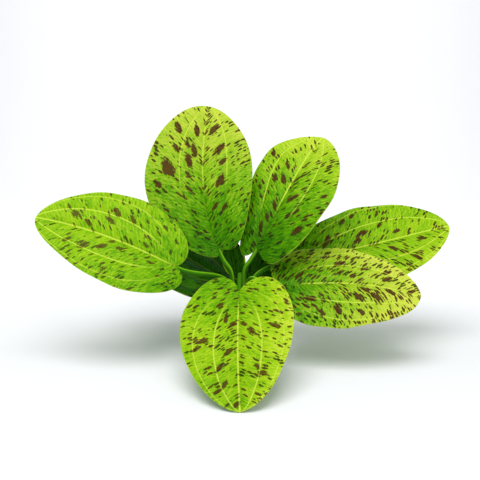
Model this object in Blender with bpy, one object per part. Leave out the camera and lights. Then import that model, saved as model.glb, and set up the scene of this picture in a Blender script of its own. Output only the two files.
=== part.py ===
"""Ozelot green echinodorus: a rosette of spotted oval leaves on a short rootstock, cut flat at the ground.

Z is up, +X is the plant's right as seen from the front, and the front is at -Y. The origin is the middle
of the flat cut. Each leaf is one solid, blade and stalk together, as it grew.
"""
import math
from dataclasses import dataclass

import bmesh
import bpy
import numpy as np

MM = 0.001

# The crown: a squat rootstock, widest a little above its cut
CROWN_CUT_RADIUS = 11.5
CROWN_RADIUS = 12.8
CROWN_BELLY_HEIGHT = 4.2
CROWN_SHOULDER_RADIUS = 10.8
CROWN_SHOULDER_HEIGHT = 10.5
CROWN_TOP_RADIUS = 3.5
CROWN_HEIGHT = 14.0
CROWN_SIDES = 28
SOCKET_RINGS = 5

# Stalks: they stand in a ring on the crown, thick at the foot, rise in a close bundle and then part
STALK_FOOT_HEIGHT = 6.0
STALK_FOOT_RADIUS = 2.3
STALK_RADIUS = 1.65
STALK_THINNING = 0.45
STALK_SIDES = 8
STALK_STEPS = 15
RING_RADIUS = 7.0
BUNDLE_SHARE = 0.74
BUNDLE_HEIGHTS = (0.4, 0.75, 1.0)

# Under the blade the stalk goes on as a keel, which runs out before the tip
KEEL_END = 0.86
KEEL_END_RADIUS = 0.45
KEEL_THINNING = 0.7
KEEL_STEPS = 7
KEEL_SINK = 0.3

# Blades
BLADE_THICKNESS = 0.9
BLADE_STEPS = 18
BLADE_COLUMNS = 4
YOUNG_BLADE_THICKNESS = 0.6
YOUNG_BLADE_STEPS = 10
LOBE_PLACE = 0.12
LOBE_ROUNDNESS = 0.35
LOBE_SPREAD = 1.3

# Points along a midrib by which its length is measured
SPINE_POINTS = 201

# Touching pieces keep this much air between them
GAP = 0.3


@dataclass
class Leaf:
    """Places and sizes in mm. Pairs are (left half, right half), seen from above with the tip ahead."""

    name: str
    foot: tuple
    base: tuple
    bend: tuple
    tip: tuple
    face: tuple
    half_width: tuple
    lobe: tuple
    widest: tuple
    base_fullness: tuple
    tip_fullness: tuple
    fold: float = 10.0
    edge_drop: float = 2.0
    rise: float = 60.0
    reach: float = 25.0
    foot_radius: float = STALK_FOOT_RADIUS
    stalk_radius: float = STALK_RADIUS
    thickness: float = BLADE_THICKNESS
    steps: int = BLADE_STEPS


def ring_place(azimuth, radius=RING_RADIUS):
    """A stalk's foot on the crown, at an azimuth in degrees."""
    turn = math.radians(azimuth)
    return (radius * math.cos(turn), radius * math.sin(turn), STALK_FOOT_HEIGHT)


LEAVES = [
    Leaf("leaf_back_left", ring_place(171), base=(-16.2, 6, 72.5), bend=(-34, 20, 117),
         tip=(-23.5, 46, 172.4), face=(-0.05, -0.93, 0.37), half_width=(42.5, 37), lobe=(12, 10),
         widest=(0.5, 0.54), base_fullness=(0.97, 0.4), tip_fullness=(0.51, 0.55), fold=9.3, edge_drop=2),
    Leaf("leaf_back_right", ring_place(52), base=(11.9, 4, 72.6), bend=(37, 14, 117.5), tip=(62, 38, 149.4),
         face=(-0.44, -0.7, 0.56), half_width=(35.5, 38), lobe=(15.5, 12), widest=(0.67, 0.5),
         base_fullness=(0.33, 0.33), tip_fullness=(0.62, 0.68), fold=8.2, edge_drop=3),
    Leaf("leaf_left", ring_place(221), base=(-44.4, -25.5, 65), bend=(-93.1, -21.8, 89.5),
         tip=(-140.6, -14.2, 96.9), face=(0.14, -0.76, 0.63), half_width=(35.2, 35), lobe=(15.5, 9),
         widest=(0.4, 0.43), base_fullness=(0.83, 0.61), tip_fullness=(0.57, 0.61), fold=9.6, edge_drop=2.2,
         rise=56, reach=24),
    Leaf("leaf_right_upper", ring_place(7), base=(42.4, 14, 61.7), bend=(95.3, 22, 69.3), tip=(157, 34, 83.7),
         face=(-0.04, -0.63, 0.77), half_width=(36.2, 37.4), lobe=(9, 8), widest=(0.52, 0.48),
         base_fullness=(0.52, 0.59), tip_fullness=(0.51, 0.69), fold=9, edge_drop=2.5, rise=52, reach=24),
    Leaf("leaf_right_lower", ring_place(-42), base=(25.8, -14, 48.4), bend=(85, -24, 57.4),
         tip=(121.8, -34, 45), face=(-0.12, -0.58, 0.81), half_width=(34.5, 39.4), lobe=(9.5, 7.7),
         widest=(0.35, 0.44), base_fullness=(0.48, 0.69), tip_fullness=(0.6, 0.43), fold=5.9,
         edge_drop=4.5, rise=60, reach=14),
    Leaf("leaf_front", ring_place(-90), base=(-0.7, -34, 49), bend=(-2.4, -78, 22), tip=(0, -125, 0.6),
         face=(-0.11, -0.48, 0.87), half_width=(37.3, 36.9), lobe=(17.5, 20), widest=(0.39, 0.43),
         base_fullness=(0.68, 0.75), tip_fullness=(0.46, 0.54), fold=12, edge_drop=1.1, rise=61, reach=16),
    Leaf("leaf_behind_left", ring_place(130), base=(-4, 18, 42), bend=(-38, 30, 59), tip=(-84, 50, 84),
         face=(0.3, -0.45, 0.84), half_width=(41, 35), lobe=(8, 8), widest=(0.41, 0.45),
         base_fullness=(0.75, 0.6), tip_fullness=(0.5, 0.6), fold=5, edge_drop=4, rise=42, reach=8),
    Leaf("young_leaf_left", (-1.2, 0.4, STALK_FOOT_HEIGHT), base=(-2, 9, 49), bend=(-6, 15, 62),
         tip=(-7, 20, 76), face=(0.1, -1.0, 0.15), half_width=(10, 10), lobe=(1, 1), widest=(0.5, 0.45),
         base_fullness=(0.7, 0.6), tip_fullness=(0.5, 0.5), fold=30, edge_drop=0, rise=36, reach=12,
         foot_radius=1.5, stalk_radius=1.2, thickness=YOUNG_BLADE_THICKNESS, steps=YOUNG_BLADE_STEPS),
    Leaf("young_leaf_right", ring_place(92), base=(8, 15, 43), bend=(14, 21, 57), tip=(22, 25, 71),
         face=(0, -1.0, 0.3), half_width=(8, 14), lobe=(3, 11), widest=(0.42, 0.36),
         base_fullness=(0.6, 0.4), tip_fullness=(0.5, 0.5), fold=12, edge_drop=0, rise=28, reach=9,
         foot_radius=1.5, stalk_radius=1.2, thickness=YOUNG_BLADE_THICKNESS, steps=YOUNG_BLADE_STEPS),
]

COLOURS = {
    "leaf_green": ((0.20, 0.42, 0.02, 1), 0.42),
    "stalk_green": ((0.08, 0.22, 0.01, 1), 0.45),
    "crown_brown": ((0.16, 0.13, 0.05, 1), 0.7),
}


def unit(vectors):
    return vectors / np.linalg.norm(vectors, axis=-1, keepdims=True)


def bezier(points, t):
    """A point at t on the Bezier curve of any number of control points."""
    t = np.asarray(t, float)[..., None]
    layer = [np.asarray(point, float) for point in points]
    while len(layer) > 1:
        layer = [a + (b - a) * t for a, b in zip(layer, layer[1:])]
    return layer[0]


class Spine:
    """The midrib of a leaf, measured by length along it, with the blade's directions at each place."""

    def __init__(self, leaf):
        self.points = [np.array(p, float) for p in (leaf.base, leaf.bend, leaf.tip)]
        self.face = unit(np.array(leaf.face, float))
        self.t = np.linspace(0, 1, SPINE_POINTS)
        steps = np.diff(bezier(self.points, self.t), axis=0)
        self.reached = np.concatenate([[0], np.cumsum(np.linalg.norm(steps, axis=1))])
        self.length = self.reached[-1]

    def frame(self, along):
        """Place, direction, right side and upper side. Behind the base the midrib's line goes on straight."""
        along = np.asarray(along, float)
        t = np.interp(along, self.reached, self.t)
        base, bend, tip = self.points
        ahead = unit((bend - base) * (1 - t)[..., None] + (tip - bend) * t[..., None])
        place = bezier(self.points, t) + np.minimum(along, 0)[..., None] * ahead
        side = unit(np.cross(ahead, self.face))
        return place, ahead, side, np.cross(side, ahead)


def half_outline(u, widest, base_fullness, tip_fullness):
    """Half width of a blade, from 0 to 1, at u from base to tip: a sine hump whose peak is at widest."""
    shift = math.log(0.5) / math.log(widest)
    hump = np.clip(np.sin(np.pi * np.clip(u, 0, 1) ** shift), 0, 1)
    return hump ** (base_fullness * (1 - u) + tip_fullness * u)


def blade_points(leaf, u, v):
    """Points of the blade's middle surface. u runs from base to tip, v from -1 to 1 across it.

    Lines of equal v are the leaf's long veins: they leave the base together, go back into the base
    lobes, and meet again at the tip.
    """
    spine = Spine(leaf)
    right = v > 0
    across = np.abs(v)
    half_width = np.where(right, leaf.half_width[1], leaf.half_width[0])
    lobe = np.where(right, leaf.lobe[1], leaf.lobe[0])
    outline = np.where(right,
                       half_outline(u, leaf.widest[1], leaf.base_fullness[1], leaf.tip_fullness[1]),
                       half_outline(u, leaf.widest[0], leaf.base_fullness[0], leaf.tip_fullness[0]))
    back = (u / LOBE_PLACE * np.exp(1 - u / LOBE_PLACE)) ** LOBE_ROUNDNESS * (1 - u)
    along = spine.length * u - lobe * across ** LOBE_SPREAD * back
    out = across * outline
    place, _, side, up = spine.frame(along)
    fold = math.radians(leaf.fold)
    sideways = np.sign(v) * half_width * out * math.cos(fold)
    height = half_width * out * math.sin(fold) - leaf.edge_drop * out ** 2
    return place + side * sideways[..., None] + up * height[..., None]


def sheet_rows(mesh, leaf, steps, columns, lift):
    """Rows of vertices across the blade, its middle surface raised by lift. The two end rows are points."""
    spine = Spine(leaf)
    rows = []
    for u in steps:
        _, _, _, up = spine.frame(u * spine.length)
        if u in (0.0, 1.0):
            point = blade_points(leaf, u, np.array(0.0)) + up * lift
            rows.append([mesh.verts.new(point * MM)] * len(columns))
        else:
            points = blade_points(leaf, np.full_like(columns, u), columns) + up * lift
            rows.append([mesh.verts.new(point * MM) for point in points])
    return rows


def add_face(mesh, corners):
    """A face from its corners, where a corner may be named twice."""
    mesh.faces.new(list(dict.fromkeys(corners)))


def blade_mesh(leaf):
    """The blade as a closed body: an upper and a lower sheet, joined by a rim."""
    steps = (1 - np.cos(np.linspace(0, np.pi, leaf.steps + 1))) / 2
    columns = np.linspace(-1, 1, 2 * BLADE_COLUMNS + 1)
    mesh = bmesh.new()
    upper = sheet_rows(mesh, leaf, steps, columns, leaf.thickness / 2)
    lower = sheet_rows(mesh, leaf, steps, columns, -leaf.thickness / 2)
    for i in range(leaf.steps):
        for rows in (upper, lower):
            for j in range(len(columns) - 1):
                add_face(mesh, [rows[i][j], rows[i][j + 1], rows[i + 1][j + 1], rows[i + 1][j]])
        for j in (0, -1):
            add_face(mesh, [upper[i][j], upper[i + 1][j], lower[i + 1][j], lower[i][j]])
    return mesh


def stalk_path(leaf):
    """Places and radii from the foot, up the stalk and on under the blade as its keel."""
    spine = Spine(leaf)
    place, ahead, _, up = spine.frame(0.0)
    foot = np.array(leaf.foot, float)
    end = place - up * (leaf.stalk_radius - KEEL_SINK)
    bundle = [foot * (BUNDLE_SHARE, BUNDLE_SHARE, 1) + (0, 0, leaf.rise * share) for share in BUNDLE_HEIGHTS]
    t = np.linspace(0, 1, STALK_STEPS)
    stalk = bezier([foot, *bundle, end - ahead * leaf.reach, end], t)
    thinning = np.clip(t / STALK_THINNING, 0, 1)
    stalk_radii = leaf.foot_radius + (leaf.stalk_radius - leaf.foot_radius) * thinning
    u = np.linspace(0, KEEL_END, KEEL_STEPS + 1)[1:]
    keel_radii = leaf.stalk_radius + (KEEL_END_RADIUS - leaf.stalk_radius) * (u / KEEL_END) ** KEEL_THINNING
    place, _, _, up = spine.frame(u * spine.length)
    keel = place - up * (keel_radii - KEEL_SINK)[:, None]
    return np.concatenate([stalk, keel]), np.concatenate([stalk_radii, keel_radii])


def tube_mesh(path, radii, sides=STALK_SIDES):
    """A closed tube along a path, its rings carried from one place to the next without twisting."""
    mesh = bmesh.new()
    ahead = unit(np.gradient(path, axis=0))
    side = unit(np.cross(ahead[0], np.array([0.3, 1.0, 0.1])))
    rings = []
    for place, direction, radius in zip(path, ahead, radii):
        side = unit(side - direction * side.dot(direction))
        other = np.cross(direction, side)
        turns = [2 * math.pi * i / sides for i in range(sides)]
        rings.append([mesh.verts.new((place + radius * (side * math.cos(a) + other * math.sin(a))) * MM)
                      for a in turns])
    for ring, following in zip(rings, rings[1:]):
        for i in range(sides):
            j = (i + 1) % sides
            mesh.faces.new([ring[i], ring[j], following[j], following[i]])
    mesh.faces.new(list(reversed(rings[0])))
    mesh.faces.new(rings[-1])
    return mesh


def add_object(name, mesh, material):
    """Turn a bmesh into a named object with outward faces."""
    bmesh.ops.recalc_face_normals(mesh, faces=mesh.faces)
    data = bpy.data.meshes.new(name)
    mesh.to_mesh(data)
    mesh.free()
    data.shade_smooth()
    data.materials.append(material)
    piece = bpy.data.objects.new(name, data)
    bpy.context.scene.collection.objects.link(piece)
    return piece


def add_cutter(name, mesh, material):
    """A hidden object that a Boolean modifier uses."""
    cutter = add_object(name, mesh, material)
    cutter.hide_render = True
    cutter.display_type = "WIRE"
    return cutter


def combine(piece, other, operation):
    """Join or cut a piece with another by a Boolean modifier."""
    modifier = piece.modifiers.new(operation.lower(), "BOOLEAN")
    modifier.operation = operation
    modifier.object = other


def make_material(name):
    colour, roughness = COLOURS[name]
    material = bpy.data.materials.new(name)
    material.use_nodes = True
    shader = material.node_tree.nodes["Principled BSDF"]
    shader.inputs["Base Color"].default_value = colour
    shader.inputs["Roughness"].default_value = roughness
    shader.inputs["Metallic"].default_value = 0.0
    return material


def add_leaf(leaf, leaf_green, stalk_green):
    """A blade joined to its stalk and keel."""
    blade = add_object(leaf.name, blade_mesh(leaf), leaf_green)
    stalk = add_cutter(leaf.name + "_stalk", tube_mesh(*stalk_path(leaf)), stalk_green)
    combine(blade, stalk, "UNION")
    return blade


def add_crown(material):
    """The rootstock: a turned form with a flat cut below and a socket for each stalk above."""
    profile = [(0, 0), (CROWN_CUT_RADIUS, 0), (CROWN_RADIUS, CROWN_BELLY_HEIGHT),
               (CROWN_SHOULDER_RADIUS, CROWN_SHOULDER_HEIGHT), (CROWN_TOP_RADIUS, CROWN_HEIGHT),
               (0, CROWN_HEIGHT)]
    mesh = bmesh.new()
    verts = [mesh.verts.new((radius * MM, 0, height * MM)) for radius, height in profile]
    edges = [mesh.edges.new(pair) for pair in zip(verts, verts[1:])]
    bmesh.ops.spin(mesh, geom=verts + edges, axis=(0, 0, 1), cent=(0, 0, 0), steps=CROWN_SIDES,
                   angle=2 * math.pi, use_merge=True)
    bmesh.ops.remove_doubles(mesh, verts=mesh.verts, dist=0.01 * MM)
    crown = add_object("crown", mesh, material)
    for leaf in LEAVES:
        path, radii = (values[:SOCKET_RINGS] for values in stalk_path(leaf))
        path[0] = path[0] - (0, 0, GAP)
        socket = add_cutter(leaf.name + "_socket", tube_mesh(path, radii + GAP), material)
        combine(crown, socket, "DIFFERENCE")
    return crown


def main():
    for old in list(bpy.data.objects):
        bpy.data.objects.remove(old, do_unlink=True)
    materials = {name: make_material(name) for name in COLOURS}
    add_crown(materials["crown_brown"])
    for leaf in LEAVES:
        add_leaf(leaf, materials["leaf_green"], materials["stalk_green"])


main()
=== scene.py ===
"""Ozelot green echinodorus: the plant's visible surfaces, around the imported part.

Z is up, +X is the plant's right as seen from the front, and the front is at -Y. Sizes are in mm until a
mesh is made, and in metres from there on. Each leaf is one piece, blade and stalk together.
"""
import math
from dataclasses import dataclass

import bpy
import numpy as np
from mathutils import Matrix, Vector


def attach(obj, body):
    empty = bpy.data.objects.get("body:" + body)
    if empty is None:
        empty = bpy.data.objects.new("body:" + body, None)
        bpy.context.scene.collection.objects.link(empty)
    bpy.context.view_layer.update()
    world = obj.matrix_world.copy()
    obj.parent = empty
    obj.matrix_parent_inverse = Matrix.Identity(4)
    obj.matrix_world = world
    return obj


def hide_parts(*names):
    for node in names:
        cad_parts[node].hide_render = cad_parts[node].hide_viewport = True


MM = 0.001

# The camera, as the photograph was taken
CAMERA_PLACE = (0.0, -0.55, 0.171)
CAMERA_DOWN = 9.5
CAMERA_LENS = 58.95
CAMERA_SENSOR = 36.0

# Stalks, as in the part
STALK_FOOT_HEIGHT = 6.0
STALK_FOOT_RADIUS = 2.3
STALK_RADIUS = 1.65
STALK_THINNING = 0.45
RING_RADIUS = 7.0
BUNDLE_SHARE = 0.74
BUNDLE_HEIGHTS = (0.4, 0.75, 1.0)
KEEL_END = 0.86
KEEL_END_RADIUS = 0.45
KEEL_THINNING = 0.7
KEEL_SINK = 0.3

# The keel stays below the groove of the midrib, from this share of the blade's length on
KEEL_DIP = 0.45
KEEL_DIP_START = 0.1

# Finer than in the part
SPINE_STEPS = 201
STALK_STEPS = 44
KEEL_STEPS = 36
STALK_SIDES = 24
BLADE_ROWS = 150
BLADE_COLUMNS = 96
YOUNG_BLADE_ROWS = 70
YOUNG_BLADE_COLUMNS = 40

# Ribs run up a stalk. A sheath makes its foot wider and flatter, in full for a share of its length
STALK_RIBS = 5
STALK_RIB_HEIGHT = 0.07
SHEATH_LENGTH = 22.0
SHEATH_FULL_SHARE = 0.4
SHEATH_WIDENING = 0.05

# Blades, as in the part
LOBE_PLACE = 0.12
LOBE_ROUNDNESS = 0.35
LOBE_SPREAD = 1.3

# Relief of a blade: sunken veins, with the tissue between them standing a little proud
SHEET_THICKNESS = 0.7
MARGIN_THICKNESS = 0.3
MARGIN_TAPER_POWER = 10
VEIN_GROOVE_DEPTH = 0.35
VEIN_GROOVE_WIDTH = 0.8
VEIN_RIDGE_HEIGHT = 0.25
PILLOW_HEIGHT = 0.9
PILLOW_WIDTH = 3.5
PILLOW_END_POWER = 0.7

# Grooves of the midrib, the inner and the outer vein. They begin and end within these shares of the length
GROOVE_STRENGTHS = (1.0, 0.8, 0.4)
GROOVE_BEGINS = (0.02, 0.15)
GROOVE_ENDS = (0.85, 0.98)

# Waves along a margin. Their phase differs from half to half, and with a leaf's middle green
WAVES = 3.4
WAVE_PHASES = (0.0, 2.1)
WAVE_PHASE_BY_GREEN = 7
WAVE_EDGE_POWER = 3

# Long veins start together at the base: the smaller the spread, the sooner they are apart
INNER_VEIN_SPREAD = 0.12
OUTER_VEIN_SPREAD = 0.1

# The inner veins close in on the midrib towards the tip
INNER_VEIN_CLOSING = 0.14
INNER_VEIN_CLOSES_FROM = 0.75

# Cross veins leave the midrib at an angle towards the tip, and bend outwards. The fine ones bend more
CROSS_VEIN_RISE = 0.95
CROSS_VEIN_BEND = 0.0068
FINE_VEIN_RISE = 0.75
FINE_VEIN_BEND = 0.0115

# How much of that rise they have at the base, and where along the blade it grows to all of it
BASE_RISE = 0.55
RISE_GROWS = (0.05, 0.35)

# Shares of the length at which a leaf's three greens are
GREEN_PLACES = (0.04, 0.45, 0.95)

# A young leaf's light rim, painted light round its middle that is painted dark as shade
YOUNG_RIM_LIGHT = 0.85
YOUNG_RIM_START = 0.78

# The veins' colour comes in over this share of the length on either side of veins_from
VEIN_SHOW_BLUR = 0.12

# A blotch is full up to the first and gone beyond the second, as shares of its half width
BLOTCH_FADES = (0.45, 1.75)


@dataclass
class Leaf:
    """Places and sizes in mm. Pairs are (left half, right half), seen from above with the tip ahead.

    The fields up to stalk_radius are the part's, and the rest are only for looks.
    inner_vein, outer_vein: how far out a long vein runs, where 1 is the margin
    midrib_lean: how far to the right the midrib is at the tip, on the same scale
    veins_from, vein_strength: the share of the length from which veins show in colour, and how clearly
    green: how light the blade is at its base, middle and tip, from 0 to 1; the dark bases are partly
    painted shade, and a leaf that stands in shade is painted dark
    edge_light: what the margins add to that, partly painted light and painted shade
    yellow: how far the light places turn pale yellow, partly the blade's own pale tips and partly painted
    light shining through it
    spots, spot_depth: how many flecks and specks there are, and how dark all brown marks are
    stalk_streaks_and_highlight: how clear the light streaks and the painted highlight on one side of the
    stalk are; a low value is painted shade, for a stalk that stands in shade
    wave: height of the waves along the margin
    young: one of the small leaves at the middle, with a coarser mesh and a light rim, where light falls,
    round a middle painted dark as shade
    """

    name: str
    foot: tuple
    base: tuple
    bend: tuple
    tip: tuple
    face: tuple
    half_width: tuple
    lobe: tuple
    widest: tuple
    base_fullness: tuple
    tip_fullness: tuple
    fold: float = 10.0
    edge_drop: float = 2.0
    rise: float = 60.0
    reach: float = 25.0
    foot_radius: float = STALK_FOOT_RADIUS
    stalk_radius: float = STALK_RADIUS
    inner_vein: tuple = (0.58, 0.58)
    outer_vein: tuple = (1.0, 1.0)
    midrib_lean: float = 0.0
    veins_from: float = 0.1
    vein_strength: float = 0.8
    green: tuple = (0.35, 0.55, 0.8)
    edge_light: tuple = (0.0, 0.0)
    yellow: float = 0.0
    spots: float = 0.3
    spot_depth: float = 0.94
    stalk_streaks_and_highlight: float = 1.0
    wave: float = 0.7
    young: bool = False


def ring_place(azimuth):
    """A stalk's foot on the crown, at an azimuth in degrees."""
    turn = math.radians(azimuth)
    return (RING_RADIUS * math.cos(turn), RING_RADIUS * math.sin(turn), STALK_FOOT_HEIGHT)


# The large leaves' shapes were fitted to their outlines and veins in the photograph
LEAVES = [
    Leaf("leaf_back_left", ring_place(171), base=(-16.2, 6, 72.5), bend=(-34, 20, 117),
         tip=(-23.5, 46, 172.4), face=(-0.05, -0.93, 0.37), half_width=(42.5, 37), lobe=(12, 10),
         widest=(0.5, 0.54), base_fullness=(0.97, 0.4), tip_fullness=(0.51, 0.55), fold=9.3, edge_drop=2,
         inner_vein=(0.5, 0.6), outer_vein=(1.5, 1.5), veins_from=0.45, vein_strength=0.8,
         green=(0.22, 0.49, 0.79), edge_light=(0, 0.03), yellow=0.28, spots=0.32),
    Leaf("leaf_back_right", ring_place(52), base=(11.9, 4, 72.6), bend=(37, 14, 117.5), tip=(62, 38, 149.4),
         face=(-0.44, -0.7, 0.56), half_width=(35.5, 38), lobe=(15.5, 12), widest=(0.67, 0.5),
         base_fullness=(0.33, 0.33), tip_fullness=(0.62, 0.68), fold=8.2, edge_drop=3,
         inner_vein=(0.66, 0.55), outer_vein=(1.5, 1.5), midrib_lean=-0.1, veins_from=0.35,
         vein_strength=1.0, green=(0.18, 0.43, 0.81), yellow=0.08, spots=0.32, stalk_streaks_and_highlight=0.5),
    Leaf("leaf_left", ring_place(221), base=(-44.4, -25.5, 65), bend=(-93.1, -21.8, 89.5),
         tip=(-140.6, -14.2, 96.9), face=(0.14, -0.76, 0.63), half_width=(35.2, 35), lobe=(15.5, 9),
         widest=(0.4, 0.43), base_fullness=(0.83, 0.61), tip_fullness=(0.57, 0.61), fold=9.6, edge_drop=2.2,
         rise=56, reach=24,
         inner_vein=(0.6, 0.58), outer_vein=(1.05, 1.0), midrib_lean=0.03, veins_from=0.05,
         vein_strength=1.0,
         green=(0.44, 0.58, 0.58), edge_light=(-0.06, 0.03), spots=0.3, spot_depth=0.82),
    Leaf("leaf_right_upper", ring_place(7), base=(42.4, 14, 61.7), bend=(95.3, 22, 69.3),
         tip=(157, 34, 83.7), face=(-0.04, -0.63, 0.77), half_width=(36.2, 37.4), lobe=(9, 8),
         widest=(0.52, 0.48), base_fullness=(0.52, 0.59), tip_fullness=(0.51, 0.69), fold=9, edge_drop=2.5,
         rise=52, reach=24,
         inner_vein=(0.61, 0.62), outer_vein=(1.07, 1.0), midrib_lean=-0.05, vein_strength=1.0,
         green=(0.36, 0.55, 0.65), edge_light=(-0.06, 0.12), spots=0.38),
    Leaf("leaf_right_lower", ring_place(-42), base=(25.8, -14, 48.4), bend=(85, -24, 57.4),
         tip=(121.8, -34, 45), face=(-0.12, -0.58, 0.81), half_width=(34.5, 39.4), lobe=(9.5, 7.7),
         widest=(0.35, 0.44), base_fullness=(0.48, 0.69), tip_fullness=(0.6, 0.43), fold=5.9,
         edge_drop=4.5, rise=60, reach=14,
         inner_vein=(0.6, 0.56), midrib_lean=-0.03, veins_from=0.2,
         vein_strength=1.0, green=(0.25, 0.54, 0.95), edge_light=(0.28, 0.08), yellow=0.22,
         spots=0.76),
    Leaf("leaf_front", ring_place(-90), base=(-0.7, -34, 49), bend=(-2.4, -78, 22), tip=(0, -125, 0.6),
         face=(-0.11, -0.48, 0.87), half_width=(37.3, 36.9), lobe=(17.5, 20), widest=(0.39, 0.43),
         base_fullness=(0.68, 0.75), tip_fullness=(0.46, 0.54), fold=12, edge_drop=1.1, rise=61, reach=16,
         inner_vein=(0.54, 0.52), outer_vein=(1.0, 0.94), veins_from=0.13, vein_strength=1.0,
         green=(0.43, 0.66, 0.53), edge_light=(0.24, 0.0), spots=0.36,
         spot_depth=0.9, stalk_streaks_and_highlight=0.2),
    # Painted shade: this leaf stands in shade behind the others, so it is painted dark green, lighter only
    # towards its tip
    Leaf("leaf_behind_left", ring_place(130), base=(-4, 18, 42), bend=(-38, 30, 59), tip=(-84, 50, 84),
         face=(0.3, -0.45, 0.84), half_width=(41, 35), lobe=(8, 8), widest=(0.41, 0.45),
         base_fullness=(0.75, 0.6), tip_fullness=(0.5, 0.6), fold=5, edge_drop=4, rise=42, reach=8,
         green=(0.1, 0.12, 0.5), vein_strength=0.2, spots=0.2),
    # Painted shade: the young leaves stand in shade in the middle, so they are painted dark green, with a
    # light rim where light falls
    Leaf("young_leaf_left", (-1.2, 0.4, STALK_FOOT_HEIGHT), base=(-2, 9, 49), bend=(-6, 15, 62),
         tip=(-7, 20, 76), face=(0.1, -1.0, 0.15), half_width=(10, 10), lobe=(1, 1), widest=(0.5, 0.45),
         base_fullness=(0.7, 0.6), tip_fullness=(0.5, 0.5), fold=30, edge_drop=0, rise=36, reach=12,
         foot_radius=1.5, stalk_radius=1.2,
         green=(0.0, 0.05, 0.2), wave=0.2, vein_strength=0.05, young=True),
    Leaf("young_leaf_right", ring_place(92), base=(8, 15, 43), bend=(14, 21, 57), tip=(22, 25, 71),
         face=(0, -1.0, 0.3), half_width=(8, 14), lobe=(3, 11), widest=(0.42, 0.36),
         base_fullness=(0.6, 0.4), tip_fullness=(0.5, 0.5), fold=12, edge_drop=0, rise=28, reach=9,
         foot_radius=1.5, stalk_radius=1.2,
         green=(0.0, 0.05, 0.2), wave=0.2, vein_strength=0.05, young=True),
]

# The larger brown blotches: place along the blade and across it, width and height in mm. The places were
# worked out from pixels in the photograph, and the sizes are given
BLOTCHES = {
    "leaf_back_left": [
        (0.56, -0.6, 8.5, 10.5), (0.82, -0.67, 6, 6), (0.81, -0.19, 3.5, 8), (0.83, 0.25, 6, 7),
        (0.68, 0.36, 7, 7), (0.59, 0.42, 6, 4), (0.46, 0.36, 6, 7), (0.67, -0.17, 4, 9),
        (0.6, -0.24, 4.5, 8), (0.71, -0.32, 3.5, 5), (0.68, -0.53, 5.5, 4), (0.51, -0.24, 4, 4),
        (0.42, -0.24, 5, 3.5), (0.48, -0.78, 5, 4), (0.28, 0.21, 5, 3), (0.28, 0.44, 5, 3)],
    "leaf_back_right": [
        (0.44, 0.18, 6, 5), (0.56, -0.24, 6, 4.5), (0.55, -0.46, 5, 5), (0.67, -0.33, 5, 3.5),
        (0.74, -0.83, 5, 4), (0.28, 0.76, 6, 5), (0.35, -0.15, 5, 4), (0.25, -0.2, 5, 3),
        (0.18, -0.29, 4, 4.5), (0.6, 0.07, 6, 2.5), (0.54, 0.82, 4.5, 3), (0.37, 0.44, 4, 4)],
    "leaf_left": [
        (0.61, -0.41, 6, 5), (0.5, -0.28, 5, 4.5), (0.51, 0.57, 6, 4.5), (0.52, 0.36, 4, 5.5),
        (0.4, 0.53, 6, 3), (0.64, 0.17, 4, 4), (0.73, -0.45, 5, 3), (0.45, -0.74, 6, 2),
        (0.39, -0.17, 3, 4.5), (0.24, 0.14, 2.5, 3.5), (0.17, -0.22, 2, 4), (0.75, 0.37, 4.5, 4)],
    "leaf_right_upper": [
        (0.22, -0.38, 8, 4.5), (0.46, -0.33, 4, 6), (0.58, -0.43, 5, 4), (0.66, -0.19, 3, 5),
        (0.4, -0.17, 4.5, 4), (0.59, 0.26, 6, 4), (0.69, 0.68, 7, 4), (0.63, 0.82, 5, 2.5),
        (0.79, 0.21, 4, 5), (0.6, -0.76, 7, 2.5), (0.45, -0.82, 4.5, 4), (0.38, -0.75, 6, 4)],
    "leaf_right_lower": [
        (0.26, 0.39, 5, 5.5), (0.46, 0.62, 7, 4.5), (0.57, 0.31, 5.5, 6), (0.71, 0.32, 5, 7.5),
        (0.79, 0.11, 5, 5), (0.62, 0.14, 5, 3.5), (0.62, 0.68, 4, 4), (0.44, -0.53, 4.5, 4.5),
        (0.45, -0.27, 3.5, 4), (0.76, -0.32, 5, 4), (0.74, -0.54, 4.5, 3), (0.93, -0.17, 5, 4),
        (0.53, -0.21, 4, 3), (0.17, -0.26, 5, 4), (0.6, -0.47, 4, 4), (0.36, 0.68, 5, 3)],
    "leaf_front": [
        (0.42, -0.67, 8, 4), (0.4, -0.25, 5, 6), (0.76, -0.57, 5.5, 4), (0.49, 0.6, 6, 4.5),
        (0.55, 0.73, 5, 3), (0.54, 0.17, 5, 4.5), (0.67, 0.35, 4.5, 5), (0.8, 0.33, 3.5, 5),
        (0.86, 0.61, 5, 3), (0.95, 0.12, 5, 4), (0.27, 0.22, 2.5, 8), (0.18, 0.42, 6, 2.5),
        (0.32, -0.76, 6, 2), (0.69, -0.4, 3.5, 4), (0.31, -0.11, 4.5, 3), (0.31, 0.11, 4, 4)],
}


def unit(vectors):
    return vectors / np.linalg.norm(vectors, axis=-1, keepdims=True)


def smooth(value, low, high):
    """A smooth step from 0 at low to 1 at high."""
    t = np.clip((value - low) / (high - low), 0, 1)
    return t * t * (3 - 2 * t)


def bezier(points, t):
    """A point at t on the Bezier curve of any number of control points."""
    t = np.asarray(t, float)[..., None]
    layer = [np.asarray(point, float) for point in points]
    while len(layer) > 1:
        layer = [a + (b - a) * t for a, b in zip(layer, layer[1:])]
    return layer[0]


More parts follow.
